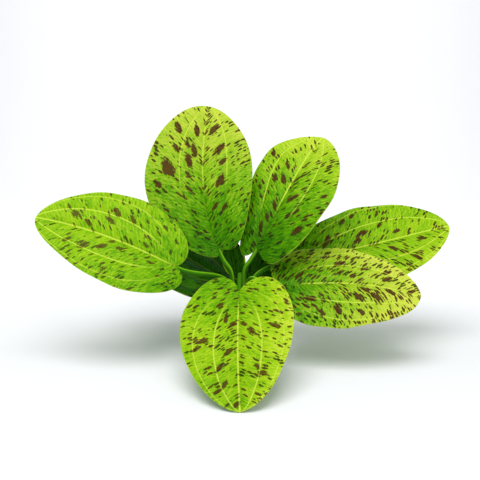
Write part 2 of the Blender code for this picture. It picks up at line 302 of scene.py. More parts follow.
class Spine:
    """The midrib of a leaf, measured by length along it, with the blade's directions at each place."""

    def __init__(self, leaf):
        self.points = [np.array(p, float) for p in (leaf.base, leaf.bend, leaf.tip)]
        self.face = unit(np.array(leaf.face, float))
        self.t = np.linspace(0, 1, SPINE_STEPS)
        steps = np.diff(bezier(self.points, self.t), axis=0)
        self.reached = np.concatenate([[0], np.cumsum(np.linalg.norm(steps, axis=1))])
        self.length = self.reached[-1]

    def frame(self, along):
        """Place, direction, right side and upper side. Behind the base the midrib goes on straight."""
        along = np.asarray(along, float)
        t = np.interp(along, self.reached, self.t)
        base, bend, tip = self.points
        ahead = unit((bend - base) * (1 - t)[..., None] + (tip - bend) * t[..., None])
        place = bezier(self.points, t) + np.minimum(along, 0)[..., None] * ahead
        side = unit(np.cross(ahead, self.face))
        return place, ahead, side, np.cross(side, ahead)


def half_outline(u, widest, base_fullness, tip_fullness):
    """Half width of a blade, from 0 to 1, at u from base to tip: a sine hump whose peak is at widest."""
    shift = math.log(0.5) / math.log(widest)
    hump = np.clip(np.sin(np.pi * np.clip(u, 0, 1) ** shift), 0, 1)
    return hump ** (base_fullness * (1 - u) + tip_fullness * u)


class Blade:
    """A grid of places on one leaf's blade, with what its mesh and its markings need at each.

    u runs from base to tip and v from -1 to 1 across.
    """

    def __init__(self, leaf):
        self.leaf = leaf
        rows = YOUNG_BLADE_ROWS if leaf.young else BLADE_ROWS
        columns = YOUNG_BLADE_COLUMNS if leaf.young else BLADE_COLUMNS
        steps = (1 - np.cos(np.linspace(0, np.pi, rows + 1))) / 2
        self.u, self.v = np.meshgrid(steps, np.linspace(-1, 1, columns + 1), indexing="ij")
        self.across = np.abs(self.v)
        self.spine = Spine(leaf)
        outline = self.by_side([half_outline(self.u, *shape) for shape in
                                zip(leaf.widest, leaf.base_fullness, leaf.tip_fullness)])
        self.width = self.by_side(leaf.half_width) * outline
        self.sideways = self.v * self.width
        back = (self.u / LOBE_PLACE * np.exp(1 - self.u / LOBE_PLACE)) ** LOBE_ROUNDNESS * (1 - self.u)
        behind = self.by_side(leaf.lobe) * self.across ** LOBE_SPREAD * back
        self.along = self.spine.length * self.u - behind
        far = np.abs(self.sideways)
        rise = BASE_RISE + (1 - BASE_RISE) * smooth(self.u, *RISE_GROWS)
        self.level = self.along - rise * far * (CROSS_VEIN_RISE - CROSS_VEIN_BEND * far)
        self.fine_level = self.along - rise * far * (FINE_VEIN_RISE - FINE_VEIN_BEND * far)
        self.veins = self.vein_distances()
        self.groove = self.vein_groove()
        out = self.across * outline
        place, _, side, self.up = self.spine.frame(self.along)
        fold = math.radians(leaf.fold)
        height = self.width * self.across * math.sin(fold) - leaf.edge_drop * out ** 2
        self.middle = (place + side * (self.sideways * math.cos(fold))[..., None]
                       + self.up * (height + self.relief(out))[..., None])

    def by_side(self, pair):
        """The left or the right value of a pair, by which half each place is on."""
        return np.where(self.v > 0, pair[1], pair[0])

    def vein_distances(self):
        """Signed distances in mm to the midrib and to this half's inner and outer long vein."""
        u = self.u
        midrib = self.leaf.midrib_lean * u
        closing = 1 - INNER_VEIN_CLOSING * smooth(u, INNER_VEIN_CLOSES_FROM, 1)
        inner = self.by_side(self.leaf.inner_vein) * u / (u + INNER_VEIN_SPREAD) * closing
        outer = self.by_side(self.leaf.outer_vein) * u / (u + OUTER_VEIN_SPREAD)
        place = self.v - midrib
        across = np.abs(place)
        return [self.width * distance for distance in (place, across - inner, across - outer)]

    def vein_groove(self):
        """1 on a long vein, falling to 0 beside it."""
        total = sum(strength * np.exp(-(distance / VEIN_GROOVE_WIDTH) ** 2)
                    for strength, distance in zip(GROOVE_STRENGTHS, self.veins))
        begun = smooth(self.u, *GROOVE_BEGINS)
        return np.minimum(total, 1) * begun * (1 - smooth(self.u, *GROOVE_ENDS))

    def relief(self, out):
        """How far the blade stands out from its plain folded form."""
        nearest = np.min(np.abs(self.veins), axis=0)
        ends = np.sin(np.pi * self.u) ** PILLOW_END_POWER
        pillow = PILLOW_HEIGHT * (1 - np.exp(-(nearest / PILLOW_WIDTH) ** 2)) * ends
        phase = self.by_side(WAVE_PHASES) + WAVE_PHASE_BY_GREEN * self.leaf.green[1]
        wave = self.leaf.wave * out ** WAVE_EDGE_POWER * np.sin(2 * np.pi * WAVES * self.u + phase)
        return pillow + wave - VEIN_GROOVE_DEPTH * self.groove

    def light(self):
        """How light a green each place has: painted shade darkens the bases and the leaves that stand in
        shade, and painted light and shade change the margins. A young leaf is lighter towards its margin,
        round a middle painted dark as shade.
        """
        rim = YOUNG_RIM_LIGHT * smooth(self.across, YOUNG_RIM_START, 1) if self.leaf.young else 0
        edge = self.by_side(self.leaf.edge_light) * self.across ** 2
        return np.interp(self.u, GREEN_PLACES, self.leaf.green) + edge + rim

    def vein_show(self):
        """How clearly the veins stand out in colour."""
        start = self.leaf.veins_from
        return self.leaf.vein_strength * smooth(self.u, start - VEIN_SHOW_BLUR, start + VEIN_SHOW_BLUR)

    def blotch(self):
        """1 in the middle of each blotch, falling to 0 round it. A blotch leans as the cross veins do."""
        total = np.zeros_like(self.u)
        for u, v, width, height in BLOTCHES.get(self.leaf.name, []):
            here = np.argmin(np.abs(self.u[:, 0] - u)), np.argmin(np.abs(self.v[0] - v))
            far = np.hypot((self.level - self.level[here]) * 2 / height,
                           (self.sideways - self.sideways[here]) * 2 / width)
            total = np.maximum(total, 1 - smooth(far, *BLOTCH_FADES))
        return total


class Body:
    """Vertices, faces and named per-vertex values, gathered from the sheets and tubes of one piece."""

    def __init__(self):
        self.places = []
        self.faces = []
        self.material_of_face = []
        self.values = {}

    def add(self, grid, values, closed, material):
        """A grid of places as a surface. A row whose places all agree becomes one vertex.

        closed joins the last column to the first. Returns the vertex numbers of the grid.
        """
        rows, columns = grid.shape[:2]
        numbers = np.zeros((rows, columns), int)
        for i in range(rows):
            single = np.ptp(grid[i], axis=0).max() < 1e-6
            first = len(self.places)
            kept = 1 if single else columns
            self.places.extend(grid[i][:kept])
            numbers[i] = first if single else first + np.arange(columns)
            for name in BODY_VALUES:
                value = values.get(name)
                rows_of_value = np.zeros((kept, 3)) if value is None else value[i][:kept]
                self.values.setdefault(name, []).extend(rows_of_value)
        following = np.roll(numbers, -1, axis=1) if closed else numbers[:, 1:]
        starting = numbers if closed else numbers[:, :-1]
        corners = np.stack([starting[:-1], following[:-1], following[1:], starting[1:]], axis=-1)
        self.add_faces(corners.reshape(-1, 4), material)
        return numbers

    def add_faces(self, corners, material):
        for face in corners.tolist():
            face = list(dict.fromkeys(face))
            if len(face) > 2:
                self.faces.append(face)
                self.material_of_face.append(material)

    def make(self, name, materials):
        data = bpy.data.meshes.new(name)
        data.from_pydata((np.array(self.places) * MM).tolist(), [], self.faces)
        for material in materials:
            data.materials.append(material)
        data.polygons.foreach_set("material_index", self.material_of_face)
        for name_of_value, rows in self.values.items():
            attribute = data.attributes.new(name_of_value, "FLOAT_VECTOR", "POINT")
            attribute.data.foreach_set("vector", np.array(rows, np.float32).ravel())
        data.shade_smooth()
        data.update()
        piece = bpy.data.objects.new(name, data)
        bpy.context.scene.collection.objects.link(piece)
        return piece


# What the vertices carry for the materials. A vein level is the same all along one cross vein
PLACE = "leaf_place"      # share of the way to the margin and to the tip, seed
NET = "leaf_net"          # vein level, fine vein level, length across
VEINS = "leaf_veins"      # distances to the midrib, the inner and the outer vein
TINT = "leaf_tint"        # lightness, yellowness, how clearly veins show
MARKS = "leaf_marks"      # share of spots, how dark they are, blotch
# On a stalk, leaf_side holds how clear its streaks and painted highlight are
SIDE = "leaf_side"        # 1 on the upper side of a blade, lightness of a stalk
STALK = "stalk_place"     # share of the way up, cosine and sine of the way round
BODY_VALUES = (PLACE, NET, VEINS, TINT, MARKS, SIDE, STALK)


def stacked(*values):
    return np.stack(np.broadcast_arrays(*values), axis=-1).astype(float)


def add_blade(body, leaf, seed):
    """The blade's upper and lower sheets and the rim between them."""
    blade = Blade(leaf)
    inside = 1 - blade.across ** MARGIN_TAPER_POWER
    thickness = MARGIN_THICKNESS + (SHEET_THICKNESS - MARGIN_THICKNESS) * inside
    sheets = []
    for upper in (1, 0):
        lift = thickness / 2 if upper else -thickness / 2 - VEIN_RIDGE_HEIGHT * blade.groove
        values = {PLACE: stacked(blade.across, blade.u, seed),
                  NET: stacked(blade.level, blade.fine_level, blade.sideways),
                  VEINS: stacked(*blade.veins),
                  TINT: stacked(blade.light(), leaf.yellow, blade.vein_show()),
                  MARKS: stacked(leaf.spots, leaf.spot_depth, blade.blotch()),
                  SIDE: stacked(upper, 0.0, np.zeros_like(blade.u))}
        values = {name: value if upper else value[:, ::-1] for name, value in values.items()}
        grid = blade.middle + blade.up * lift[..., None]
        sheets.append(body.add(grid if upper else grid[:, ::-1], values, closed=False, material=0))
    top, bottom = sheets[0], sheets[1][:, ::-1]
    for edge, turned in ((0, False), (-1, True)):
        rim = np.stack([top[:-1, edge], top[1:, edge], bottom[1:, edge], bottom[:-1, edge]], axis=-1)
        body.add_faces(rim[:, ::-1] if turned else rim, material=0)


def stalk_path(leaf):
    """Places, radii and shares of the way, from the foot up the stalk and on under the blade as its keel.

    The share is 1 where the blade begins.
    """
    spine = Spine(leaf)
    place, ahead, _, up = spine.frame(0.0)
    foot = np.array(leaf.foot, float)
    end = place - up * (leaf.stalk_radius - KEEL_SINK)
    inwards = foot * (BUNDLE_SHARE, BUNDLE_SHARE, 1)
    bundle = [inwards + (0, 0, leaf.rise * share) for share in BUNDLE_HEIGHTS]
    t = np.linspace(0, 1, STALK_STEPS)
    stalk = bezier([foot, *bundle, end - ahead * leaf.reach, end], t)
    thinning = np.clip(t / STALK_THINNING, 0, 1)
    stalk_radii = leaf.foot_radius + (leaf.stalk_radius - leaf.foot_radius) * thinning
    u = np.linspace(0, KEEL_END, KEEL_STEPS + 1)[1:]
    keel_radii = leaf.stalk_radius + (KEEL_END_RADIUS - leaf.stalk_radius) * (u / KEEL_END) ** KEEL_THINNING
    place, _, _, up = spine.frame(u * spine.length)
    sink = KEEL_SINK - KEEL_DIP * smooth(u, 0, KEEL_DIP_START)
    keel = place - up * (keel_radii - sink)[:, None]
    return (np.concatenate([stalk, keel]), np.concatenate([stalk_radii, keel_radii]),
            np.concatenate([t, 1 + u]))


def add_stalk(body, leaf):
    """A ribbed stalk, sheathed at the foot, that goes on under the blade as its keel."""
    path, radii, share = stalk_path(leaf)
    ahead = unit(np.gradient(path, axis=0))
    outwards = np.array([leaf.foot[0], leaf.foot[1], 0.0])
    side = unit(np.cross(ahead[0], outwards))
    turns = 2 * np.pi * np.arange(STALK_SIDES) / STALK_SIDES
    rings = []
    for place, direction, radius in zip(path, ahead, radii):
        side = unit(side - direction * side.dot(direction))
        other = np.cross(direction, side)
        sheath = 1 - smooth(place[2], SHEATH_FULL_SHARE * SHEATH_LENGTH, SHEATH_LENGTH)
        ribs = 1 + STALK_RIB_HEIGHT * np.cos(STALK_RIBS * turns)
        wide = radius * ribs * (1 + SHEATH_WIDENING * sheath) * np.cos(turns)
        deep = radius * ribs * (1 - SHEATH_WIDENING * sheath) * np.sin(turns)
        rings.append(place + side * wide[:, None] + other * deep[:, None])
    first, last = (np.repeat(end[None], STALK_SIDES, axis=0) for end in (path[0], path[-1]))
    grid = np.array([first, *rings, last])
    share = np.concatenate([share[:1], share, share[-1:]])
    # How clear the stalk's streaks and painted highlight are: low where the stalk is painted as in shade
    values = {STALK: stacked(share[:, None], np.cos(turns), np.sin(turns)),
              SIDE: stacked(0.0, leaf.stalk_streaks_and_highlight, np.zeros(grid.shape[:2]))}
    body.add(grid, values, closed=True, material=1)


def srgb(red, green, blue):
    """A colour as a picture gives it, from 0 to 255, as the linear one that a shader takes."""
    shares = [value / 255 for value in (red, green, blue)]
    return (*[s / 12.92 if s <= 0.04045 else ((s + 0.055) / 1.055) ** 2.4 for s in shares], 1.0)


class Shader:
    """A material whose node tree is written as expressions."""

    def __init__(self, name):
        self.material = bpy.data.materials.new(name)
        self.material.use_nodes = True
        self.tree = self.material.node_tree
        self.tree.nodes.clear()

    def node(self, kind, inputs=None, **settings):
        made = self.tree.nodes.new(kind)
        for name, value in settings.items():
            setattr(made, name, value)
        for name, value in (inputs or {}).items():
            self.feed(made.inputs[name], value)
        return made

    def feed(self, socket, value):
        if isinstance(value, bpy.types.NodeSocket):
            self.tree.links.new(value, socket)
        else:
            socket.default_value = value

    def math(self, operation, *values):
        return self.node("ShaderNodeMath", dict(enumerate(values)), operation=operation).outputs[0]

    def add(self, a, b):
        return self.math("ADD", a, b)

    def less(self, a, b):
        return self.math("SUBTRACT", a, b)

    def times(self, a, b):
        return self.math("MULTIPLY", a, b)

    def step(self, value, low, high, start=0.0, end=1.0):
        """A smooth step from start at low to end at high."""
        inputs = {"Value": value, "From Min": low, "From Max": high, "To Min": start, "To Max": end}
        return self.node("ShaderNodeMapRange", inputs, interpolation_type="SMOOTHSTEP").outputs[0]

    def spread(self, vector, scale):
        """A vector made longer or shorter, by the same scale each way."""
        made = self.node("ShaderNodeVectorMath", {0: vector, 3: scale}, operation="SCALE")
        return made.outputs[0]

    def mix(self, factor, a, b):
        made = self.node("ShaderNodeMix", {0: factor, 6: a, 7: b}, data_type="RGBA")
        return made.outputs[2]

    def ramp(self, value, colours):
        """A colour that runs through several, evenly spaced from 0 to 1."""
        made = self.node("ShaderNodeValToRGB", {0: value})
        stops = made.color_ramp.elements
        last = len(colours) - 1
        for place in range(1, last):
            stops.new(place / last)
        for stop, colour in zip(stops, colours):
            stop.color = colour
        return made.outputs[0]

    def vector(self, x, y, z=0.0):
        return self.node("ShaderNodeCombineXYZ", {0: x, 1: y, 2: z}).outputs[0]

    def parts(self, vector):
        return self.node("ShaderNodeSeparateXYZ", {0: vector}).outputs[:]

    def value_of(self, name):
        return self.parts(self.node("ShaderNodeAttribute", attribute_name=name).outputs["Vector"])

    def noise(self, vector, scale=1.0, detail=2.0):
        made = self.node("ShaderNodeTexNoise", {"Vector": vector, "Scale": scale, "Detail": detail})
        return made.outputs["Fac"]

    def cells(self, vector, feature="F1"):
        inputs = {"Vector": vector, "Scale": 1.0, "Randomness": CELL_RANDOMNESS}
        return self.node("ShaderNodeTexVoronoi", inputs, voronoi_dimensions="2D", feature=feature)

    def finish(self, surface):
        output = self.node("ShaderNodeOutputMaterial")
        self.tree.links.new(surface, output.inputs["Surface"])
        return self.material


# From the shaded base of a blade to its bright tip
GREENS = [srgb(8, 76, 0), srgb(52, 118, 0), srgb(94, 164, 2), srgb(146, 200, 14), srgb(184, 220, 34),
          srgb(220, 238, 76)]
PALE_YELLOW = srgb(224, 206, 104)
VEIN_COLOUR = srgb(222, 244, 78)
VEIN_SHADE = srgb(22, 72, 2)
SPOT_BROWN = srgb(82, 43, 20)
SPECK_GREEN = srgb(36, 56, 8)
UNDERSIDE_GREEN = srgb(118, 172, 44)

# Half widths of the long veins as coloured lines, in mm, and how strong the side ones are
MIDRIB_WIDTH = 0.85
INNER_VEIN_WIDTH = 0.75
OUTER_VEIN_WIDTH = 0.65
INNER_VEIN_STRENGTH = 0.9
OUTER_VEIN_STRENGTH = 0.65

# The side veins' lines come in over these shares of the length, and have this much at the base
SIDE_VEIN_BEGINS = (0.1, 0.34)
SIDE_VEIN_AT_BASE = 0.15

# Cells of the net of veins, and of the flecks and specks that fill some of them: height and width in mm
CELL_RANDOMNESS = 0.9
NET_CELL = (1.2, 2.8)
FLECK_CELL = (2.6, 4.9)
SPECK_CELL = (1.5, 2.8)

# The least and greatest radius of a fleck, as a share of its cell
FLECK_RADII = (0.24, 0.46)
SPECK_RADII = (0.2, 0.42)

# How many of the cells are filled, where a leaf's share of spots is 1
FLECK_SHARE = 0.8
SPECK_SHARE = 0.16

# Flecks waver by this much in mm, keep to patches, and have ragged and slightly soft edges
FLECK_WAVER = 1.6
FLECK_SEED_STEP = 13.7
FLECK_PATCHINESS = 1.3
FLECK_RAGGEDNESS = 0.28
FLECK_EDGE = (-0.02, 0.03)

# Blotches get ragged edges from the net's cells and from a noise
BLOTCH_CELLS = 0.6
BLOTCH_RAGGEDNESS = 1.3
BLOTCH_EDGE = (0.45, 0.49)

# Pale cross veins, this far apart in mm, waver by this much and fade to a share of their strength
BRANCH_SPACING = 2.4
BRANCH_WAVER = 4.0
BRANCH_FADED = 0.3

# Dark rays fan out from a blade's base between the long veins, and end within these shares of the length
RAY_SPREAD = 0.12
RAY_CENTRE = 0.02
RAY_COUNT = 6.0
RAY_STRENGTH = 0.5
RAY_ENDS = (0.05, 0.3)

# How much each thing changes a blade's lightness. Pairs are for dark and for light places
TINT_WEIGHT = 0.25
STREAK_WEIGHTS = (0.1, 0.24)
CELL_WEIGHTS = (0.1, 0.22)
NET_LINE_WEIGHT = 0.08
BRANCH_WEIGHTS = (0.05, 0.12)

# Lightnesses that count as dark and as light: for streaks and cells, for branches and brown marks, and for
# turning yellow
SHADE_RANGE = (0.0, 0.4)
WIDE_SHADE_RANGE = (0.05, 0.5)
YELLOW_RANGE = (0.4, 0.9)

# How strongly each colour goes over the one below, and how far brown marks fade below and hide veins
DARK_VEIN_COVER = 0.28
BRIGHT_VEIN_COVER = 0.85
MARGIN_COVER = 0.5
UNDERSIDE_COVER = 0.45
UNDERSIDE_SPOT_SHARE = 0.4
SPOT_HIDES_VEIN = 0.6
MARGIN_LINE_START = 0.98

# Noises on a blade: how fast each changes from one cross vein to the next, and along one, per mm
TINT_NOISE = (0.05, 0.07)
FADING_NOISE = (0.08, 0.08)
BRANCH_NOISE = (0.15, 0.1)
STREAK_NOISE = (1.2, 0.4)
BLOTCH_NOISE = (1.2, 0.45)
FLECK_PLACE_NOISE = (0.6, 0.5)
FLECK_EDGE_NOISE = (1.3, 0.8)
PATCH_NOISE = 0.35

# A blade's bump, of streaks, net lines, veins and a fine grain
BLADE_BUMPS = {"streak": 0.6, "net": 0.3, "vein": 0.5, "grain": 0.12}
BLADE_BUMP_STRENGTH = 0.3
BLADE_BUMP_HEIGHT = 0.0006
GRAIN_SCALE = 2.5

# Leaves are matt, as they look under water, and let some light through
LEAF_IOR = 1.2
LEAF_SPECULAR = 0.3
LEAF_GLOW = 0.25
BLADE_ROUGHNESS = (0.36, 0.5)
STALK_ROUGHNESS = (0.4, 0.52)


class BladeShader(Shader):
    """The material of the blades, written around the values that their vertices carry."""

    def __init__(self):
        super().__init__("leaf_blade")
        self.across, self.along, self.seed = self.value_of(PLACE)
        self.level, self.fine_level, self.sideways = self.value_of(NET)
        self.midrib, self.inner, self.outer = self.value_of(VEINS)
        self.light, self.yellow, self.show = self.value_of(TINT)
        self.spots, self.spot_depth, self.blotch = self.value_of(MARKS)
        self.upper = self.value_of(SIDE)[0]

    def net_noise(self, scale, detail=2.0, level=None, seed=None):
        """A noise that is drawn out along the cross veins, less 0.5."""
        across_veins = self.times(level or self.level, scale[0])
        along_veins = self.times(self.sideways, scale[1])
        place = self.vector(across_veins, along_veins, seed or self.seed)
        return self.less(self.noise(place, detail=detail), 0.5)

    def vein_line(self, distance, width):
        """1 on a vein, 0 beyond its half width."""
        return self.step(self.math("ABSOLUTE", distance), width * 0.3, width, 1.0, 0.0)

    def long_veins(self):
        """1 on the midrib, and less on the side veins, which start a little way up the blade."""
        inner = self.times(self.vein_line(self.inner, INNER_VEIN_WIDTH), INNER_VEIN_STRENGTH)
        outer = self.times(self.vein_line(self.outer, OUTER_VEIN_WIDTH), OUTER_VEIN_STRENGTH)
        begun = self.step(self.along, *SIDE_VEIN_BEGINS, SIDE_VEIN_AT_BASE, 1.0)
        side = self.times(self.math("MAXIMUM", inner, outer), begun)
        return self.math("MAXIMUM", self.vein_line(self.midrib, MIDRIB_WIDTH), side)

    def net(self):
        """The net's lines, and a value for each of its cells from -0.5 to 0.5."""
        height, width = NET_CELL
        place = self.vector(self.times(self.level, 1 / height), self.times(self.sideways, 1 / width))
        edges = self.cells(place, feature="DISTANCE_TO_EDGE").outputs["Distance"]
        tones = self.parts(self.cells(place).outputs["Color"])[1]
        return self.step(edges, 0.03, 0.16, 1.0, 0.0), self.less(tones, 0.5)

    def branches(self):
        """Pale cross veins, clearer in some places than in others."""
        waver = self.net_noise(BRANCH_NOISE, detail=1.0, level=self.fine_level)
        place = self.add(self.fine_level, self.times(waver, BRANCH_WAVER))
        line = self.step(self.math("PINGPONG", place, BRANCH_SPACING / 2), 0.1, 0.6, 0.7, -0.3)
        return self.times(line, self.step(self.net_noise(FADING_NOISE), -0.15, 0.15, BRANCH_FADED, 1.0))

    def rays(self):
        """Lighter and darker rays near the base, that part as the long veins do."""
        place = self.math("DIVIDE", self.times(self.across, self.add(self.along, RAY_SPREAD)),
                          self.add(self.along, RAY_CENTRE))
        half = self.math("SIGN", self.sideways)
        rays = self.noise(self.vector(self.times(place, RAY_COUNT), half, self.seed), detail=1.0)
        return self.times(self.less(rays, 0.5), self.step(self.along, *RAY_ENDS, RAY_STRENGTH, 0.0))

    def flecks(self, seed, cell, radii, share):
        """Flecks in a share of the cells, and more of them in some patches than in others."""
        waver = self.net_noise(FLECK_PLACE_NOISE, seed=seed)
        level = self.add(self.level, self.times(waver, FLECK_WAVER))
        place = self.vector(self.times(level, 1 / cell[0]),
                            self.add(self.times(self.sideways, 1 / cell[1]),
                                     self.times(seed, FLECK_SEED_STEP)))
        found = self.cells(place)
        chance, size, _ = self.parts(found.outputs["Color"])
        patch = self.less(self.noise(self.spread(found.outputs["Position"], PATCH_NOISE), detail=1.0), 0.5)
        share = self.add(self.times(self.spots, share), self.times(patch, FLECK_PATCHINESS))
        radius = self.add(self.times(size, radii[1] - radii[0]), radii[0])
        edge = self.net_noise(FLECK_EDGE_NOISE, detail=1.0, level=level, seed=seed)
        distance = self.add(found.outputs["Distance"], self.times(edge, FLECK_RAGGEDNESS))
        inside = self.step(self.less(radius, distance), *FLECK_EDGE)
        return self.times(inside, self.math("GREATER_THAN", share, chance))


def blade_material():
    """Bright green with pale veins, a fine net between them, and brown flecks that fill the net's cells."""
    shader = BladeShader()
    # A blade's lightness, with its painted shade and painted light
    light = shader.light
    net_line, cell_tone = shader.net()
    tint = shader.net_noise(TINT_NOISE)
    streak = shader.net_noise(STREAK_NOISE, detail=3.0)
    parts = [shader.times(tint, TINT_WEIGHT),
             shader.times(streak, shader.step(light, *SHADE_RANGE, *STREAK_WEIGHTS)),
             shader.times(cell_tone, shader.step(light, *SHADE_RANGE, *CELL_WEIGHTS)),
             shader.times(net_line, NET_LINE_WEIGHT),
             shader.times(shader.branches(), shader.step(light, *WIDE_SHADE_RANGE, *BRANCH_WEIGHTS)),
             shader.rays()]
    tone = light
    for part in parts:
        tone = shader.add(tone, part)
    # The lightest places turn pale yellow: partly the blade's own pale tips and partly painted light
    # shining through the blade
    yellowing = shader.times(shader.yellow, shader.step(tone, *YELLOW_RANGE))
    surface = shader.mix(yellowing, shader.ramp(tone, GREENS), PALE_YELLOW)

    veins = shader.long_veins()
    dark_veins = shader.times(veins, shader.step(shader.show, 0.0, 0.5, DARK_VEIN_COVER, 0.0))
    surface = shader.mix(dark_veins, surface, VEIN_SHADE)

    flecks = shader.flecks(shader.seed, FLECK_CELL, FLECK_RADII, FLECK_SHARE)
    specks = shader.flecks(shader.add(shader.seed, 5.0), SPECK_CELL, SPECK_RADII, SPECK_SHARE)
    ragged = shader.add(shader.times(cell_tone, BLOTCH_CELLS),
                        shader.times(shader.net_noise(BLOTCH_NOISE), BLOTCH_RAGGEDNESS))
    blotches = shader.step(shader.add(shader.blotch, ragged), *BLOTCH_EDGE)
    depth = shader.times(shader.spot_depth, shader.step(shader.upper, 0.0, 1.0, UNDERSIDE_SPOT_SHARE, 1.0))
    # Brown marks go dark green where the blade is dark, which is partly painted shade
    brown = shader.mix(shader.step(light, *WIDE_SHADE_RANGE), SPECK_GREEN, SPOT_BROWN)
    fleck_colour = shader.mix(shader.step(tint, -0.2, 0.1), SPECK_GREEN, brown)
    surface = shader.mix(shader.times(specks, depth), surface, SPECK_GREEN)
    surface = shader.mix(shader.times(flecks, depth), surface, fleck_colour)
    surface = shader.mix(shader.times(blotches, depth), surface, brown)

    bare = shader.less(1.0, shader.times(shader.math("MAXIMUM", flecks, blotches), SPOT_HIDES_VEIN))
    bright_veins = shader.times(shader.times(veins, shader.show), bare)
    margin = shader.step(shader.across, MARGIN_LINE_START, 1.0, 0.0, MARGIN_COVER)
    underside = shader.step(shader.upper, 0.0, 1.0, UNDERSIDE_COVER, 0.0)
    surface = shader.mix(shader.times(bright_veins, BRIGHT_VEIN_COVER), surface, VEIN_COLOUR)
    surface = shader.mix(margin, surface, VEIN_COLOUR)
    surface = shader.mix(underside, surface, UNDERSIDE_GREEN)

    place = shader.vector(shader.level, shader.sideways, shader.seed)
    grain = shader.noise(place, scale=GRAIN_SCALE, detail=4.0)
    height = shader.less(shader.times(streak, BLADE_BUMPS["streak"]),
                         shader.times(net_line, BLADE_BUMPS["net"]))
    height = shader.less(height, shader.times(veins, BLADE_BUMPS["vein"]))
    height = shader.add(height, shader.times(grain, BLADE_BUMPS["grain"]))
    bump = shader.node("ShaderNodeBump", {
        "Strength": BLADE_BUMP_STRENGTH, "Distance": BLADE_BUMP_HEIGHT, "Height": height})
    gloss = shader.node("ShaderNodeBsdfPrincipled", {
        "Base Color": surface, "Roughness": shader.step(grain, 0.3, 0.7, *BLADE_ROUGHNESS),
        "IOR": LEAF_IOR, "Specular IOR Level": LEAF_SPECULAR, "Normal": bump.outputs[0]})
    glow = shader.node("ShaderNodeBsdfTranslucent", {"Color": surface, "Normal": bump.outputs[0]})
    both = shader.node("ShaderNodeMixShader", {0: LEAF_GLOW, 1: gloss.outputs[0], 2: glow.outputs[0]})
    return shader.finish(both.outputs[0])


# A stalk's colours, and how strongly the two light ones go over the others. The light side's green is a
# painted highlight, and the dark middle green is partly painted shade
STALK_FOOT_GREEN = srgb(112, 136, 50)
STALK_GREEN = srgb(30, 92, 0)
KEEL_GREEN = srgb(136, 180, 60)
STALK_STREAK_GREEN = srgb(104, 172, 16)
STALK_PAINTED_HIGHLIGHT_GREEN = srgb(120, 186, 20)
STALK_STREAK_COVER = 0.4
STALK_PAINTED_HIGHLIGHT_COVER = 0.85


def stalk_material():
    """Green and lengthwise streaked, with a painted highlight on one side, and lighter at the foot and
    under the blade.
    """
    shader = Shader("leaf_stalk")
    share, cosine, sine = shader.value_of(STALK)
    # How clear the streaks and the painted highlight are: low on stalks painted as in shade
    light = shader.value_of(SIDE)[1]
    turn = shader.vector(shader.times(cosine, 3.0), shader.times(sine, 3.0), shader.times(share, 2.0))
    streak = shader.noise(turn, scale=2.0, detail=3.0)
    colour = shader.mix(shader.step(share, 0.1, 0.6), STALK_FOOT_GREEN, STALK_GREEN)
    colour = shader.mix(shader.step(share, 1.0, 1.5), colour, KEEL_GREEN)
    streaks = shader.times(light, shader.step(streak, 0.42, 0.72, 0.0, STALK_STREAK_COVER))
    colour = shader.mix(streaks, colour, STALK_STREAK_GREEN)
    # Painted highlight: one side of the stalk is lighter, as where light falls on it
    painted_highlight = shader.times(light, shader.step(sine, 0.3, 0.95, 0.0, STALK_PAINTED_HIGHLIGHT_COVER))
    colour = shader.mix(painted_highlight, colour, STALK_PAINTED_HIGHLIGHT_GREEN)
    bump = shader.node("ShaderNodeBump", {"Strength": 0.4, "Distance": 0.0005, "Height": streak})
    gloss = shader.node("ShaderNodeBsdfPrincipled", {
        "Base Color": colour, "Roughness": shader.step(streak, 0.3, 0.7, *STALK_ROUGHNESS),
        "IOR": LEAF_IOR, "Specular IOR Level": LEAF_SPECULAR, "Normal": bump.outputs[0]})
    return shader.finish(gloss.outputs[0])


# The crown: height and radius up its side, as in the part
CROWN_PROFILE = [(0, 11.5), (4.2, 12.8), (10.5, 10.8), (14, 3.5)]
CROWN_ROWS = 64
CROWN_SIDES = 120
CUT_RINGS = (0.35, 0.7, 0.97)

# Scars of old leaves ring the crown unevenly
SCAR_SPACING = 3.1
SCAR_DEPTH = 0.38
SCAR_LEAN = 1.1
SCAR_ROUNDNESS = 0.6
LUMP_HEIGHT = 0.3
LUMPS_BEGIN = 1.5

# The crown's colours
SKIN_DARK = srgb(80, 62, 34)
SKIN_LIGHT = srgb(132, 112, 64)
SKIN_OLIVE = srgb(112, 116, 52)
SCAR_BROWN = srgb(50, 38, 22)
CROWN_TOP_GREEN = srgb(112, 136, 54)
CUT_FLESH = srgb(222, 214, 168)


def crown_radius(height, turns):
    """How far out the crown's side is all round at a height, and how near that is to a scar's ridge."""
    plain = np.interp(height, *np.transpose(CROWN_PROFILE))
    lean = SCAR_LEAN * (np.sin(2 * turns + 0.6) + 0.6 * np.sin(3 * turns + 2.4 + 0.3 * height))
    ridge = np.cos(2 * np.pi * (height + lean) / SCAR_SPACING)
    lumps = np.sin(5 * turns + 0.5 * height) + 0.6 * np.sin(11 * turns - 0.8 * height)
    scars = np.sign(ridge) * np.abs(ridge) ** SCAR_ROUNDNESS
    return plain + smooth(height, 0, LUMPS_BEGIN) * (SCAR_DEPTH * scars + LUMP_HEIGHT * lumps), ridge


